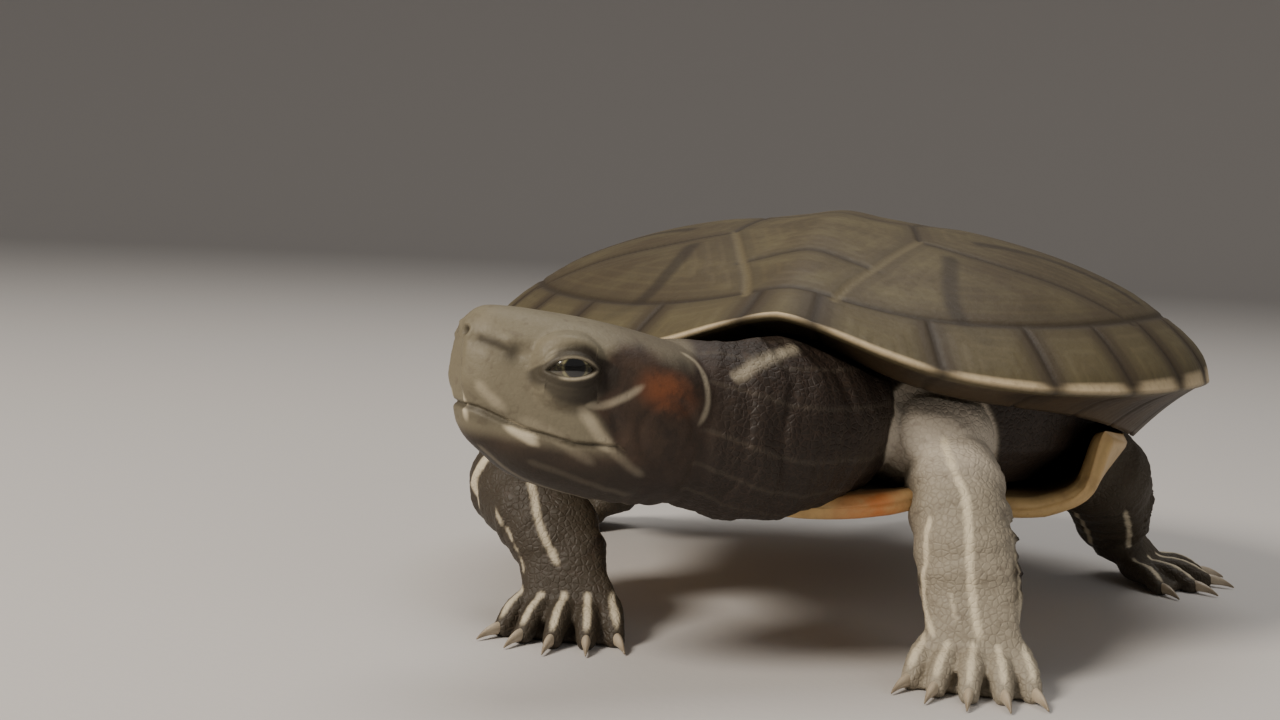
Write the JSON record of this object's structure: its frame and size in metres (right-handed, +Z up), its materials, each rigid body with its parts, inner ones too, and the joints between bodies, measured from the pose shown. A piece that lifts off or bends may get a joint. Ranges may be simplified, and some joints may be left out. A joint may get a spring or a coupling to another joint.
{
  "type": "red-eared slider turtle",
  "caption": "Young freshwater turtle standing on four webbed feet, domed olive shell, head turned to its right, red patch behind the eye.",
  "frame": {"origin": "under the centre of the whole model's bounding box, on the plane the feet stand on", "axes": "+Z up, the shell's front faces -Y, the animal's left side is at +X"},
  "size_m": [0.0654, 0.0788, 0.0308],
  "materials": {
    "carapace": "satin horn scutes, dull olive with darker seams and a cream rim",
    "plastron": "satin horn scutes, cream yellow with dark ringed blotches and an orange flush",
    "skin": "damp scaly skin, dark olive with pale stripes and a red patch behind each eye",
    "eye": "wet, glossy",
    "claw": "translucent grey-brown horn"
  },
  "bodies": {
    "root": {"carapace": "carapace", "plastron": "plastron", "bridge_left": "plastron", "bridge_right": "plastron", "trunk": "skin", "neck": "skin", "head": "skin", "lower_jaw": "skin", "tail": "skin", "eye_left": "eye", "eye_right": "eye", "upper_arm_left": "skin", "forearm_left": "skin", "front_foot_left": "skin", "thigh_left": "skin", "shank_left": "skin", "hind_foot_left": "skin", "front_claw_left_1": "claw", "front_claw_left_2": "claw", "front_claw_left_3": "claw", "front_claw_left_4": "claw", "front_claw_left_5": "claw", "hind_claw_left_1": "claw", "hind_claw_left_2": "claw", "hind_claw_left_3": "claw", "hind_claw_left_4": "claw", "upper_arm_right": "skin", "forearm_right": "skin", "front_foot_right": "skin", "thigh_right": "skin", "shank_right": "skin", "hind_foot_right": "skin", "front_claw_right_1": "claw", "front_claw_right_2": "claw", "front_claw_right_3": "claw", "front_claw_right_4": "claw", "front_claw_right_5": "claw", "hind_claw_right_1": "claw", "hind_claw_right_2": "claw", "hind_claw_right_3": "claw", "hind_claw_right_4": "claw"}
  },
  "joints": []
}
